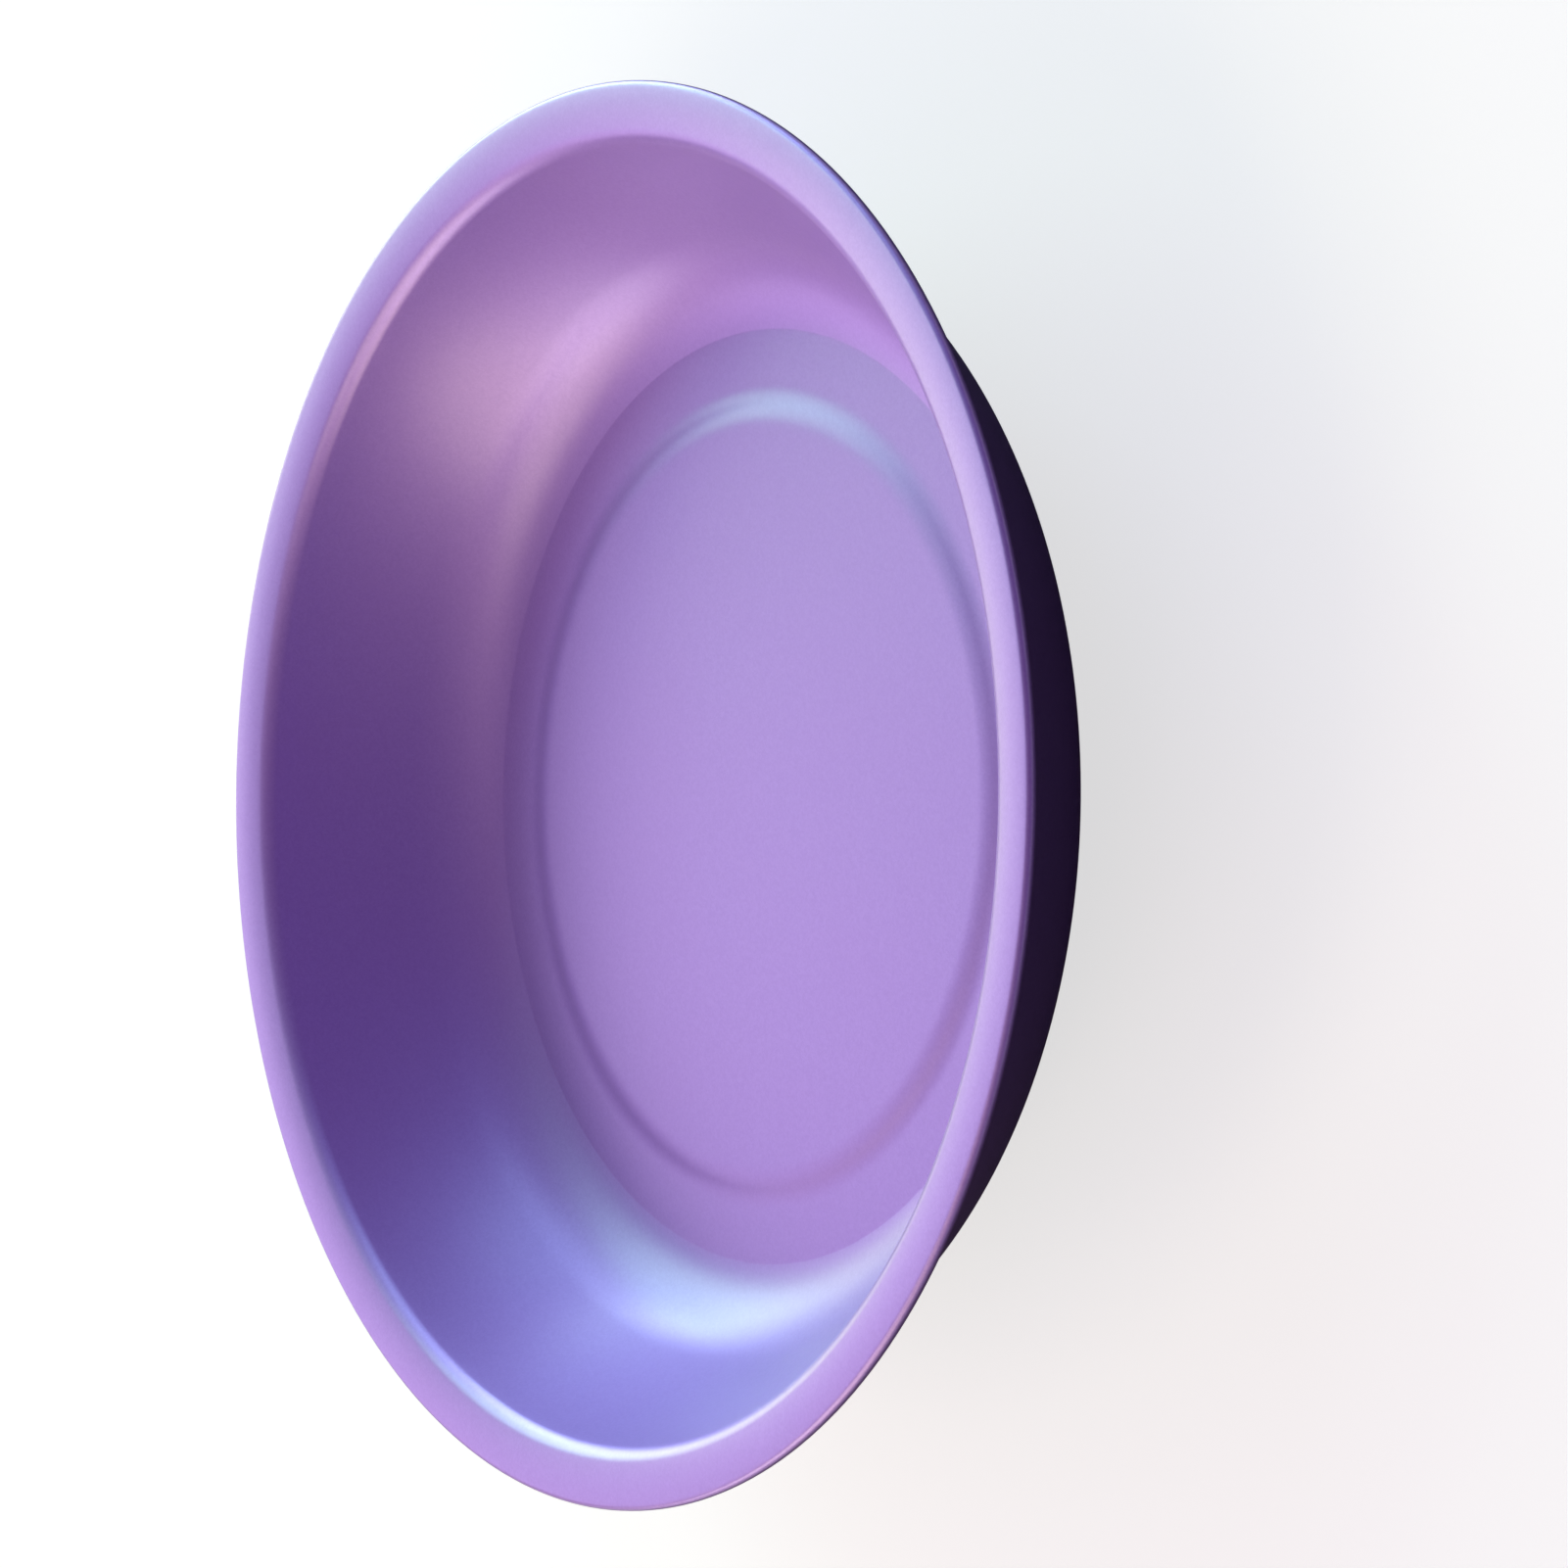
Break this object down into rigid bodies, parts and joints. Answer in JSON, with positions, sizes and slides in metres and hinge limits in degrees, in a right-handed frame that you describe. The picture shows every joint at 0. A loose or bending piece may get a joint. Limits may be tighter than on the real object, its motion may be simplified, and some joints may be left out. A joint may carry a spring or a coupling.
{
  "type": "magnetic parts tray",
  "caption": "Round pressed bowl with a flat flange and a raised centre pad, on a rubber-booted ring magnet; holds small steel parts and grips steel surfaces.",
  "frame": {"origin": "centre of the boot's sole, on the surface that the tray rests on", "axes": "+Z along the bowl's axis, out of its mouth; +X and +Y level, the object is a body of revolution but for the nut and the spring washer"},
  "size_m": [0.15, 0.15, 0.031],
  "materials": {
    "purple_coat": "satin pearl powder coat, fine grain",
    "zinc_plate": "bright zinc plate",
    "grey_foam": "matte closed-cell foam",
    "ferrite": "dull ground ferrite",
    "white_nylon": "natural nylon",
    "black_rubber": "matte moulded rubber"
  },
  "bodies": {
    "root": {"tray_bowl": "purple_coat", "weld_stud": "zinc_plate", "gasket_ring": "grey_foam", "ring_magnet": "ferrite", "centring_ring": "white_nylon", "keeper_plate": "zinc_plate", "flat_washer": "zinc_plate", "spring_washer": "zinc_plate", "thin_nut": "zinc_plate", "rubber_boot": "black_rubber"}
  },
  "joints": []
}
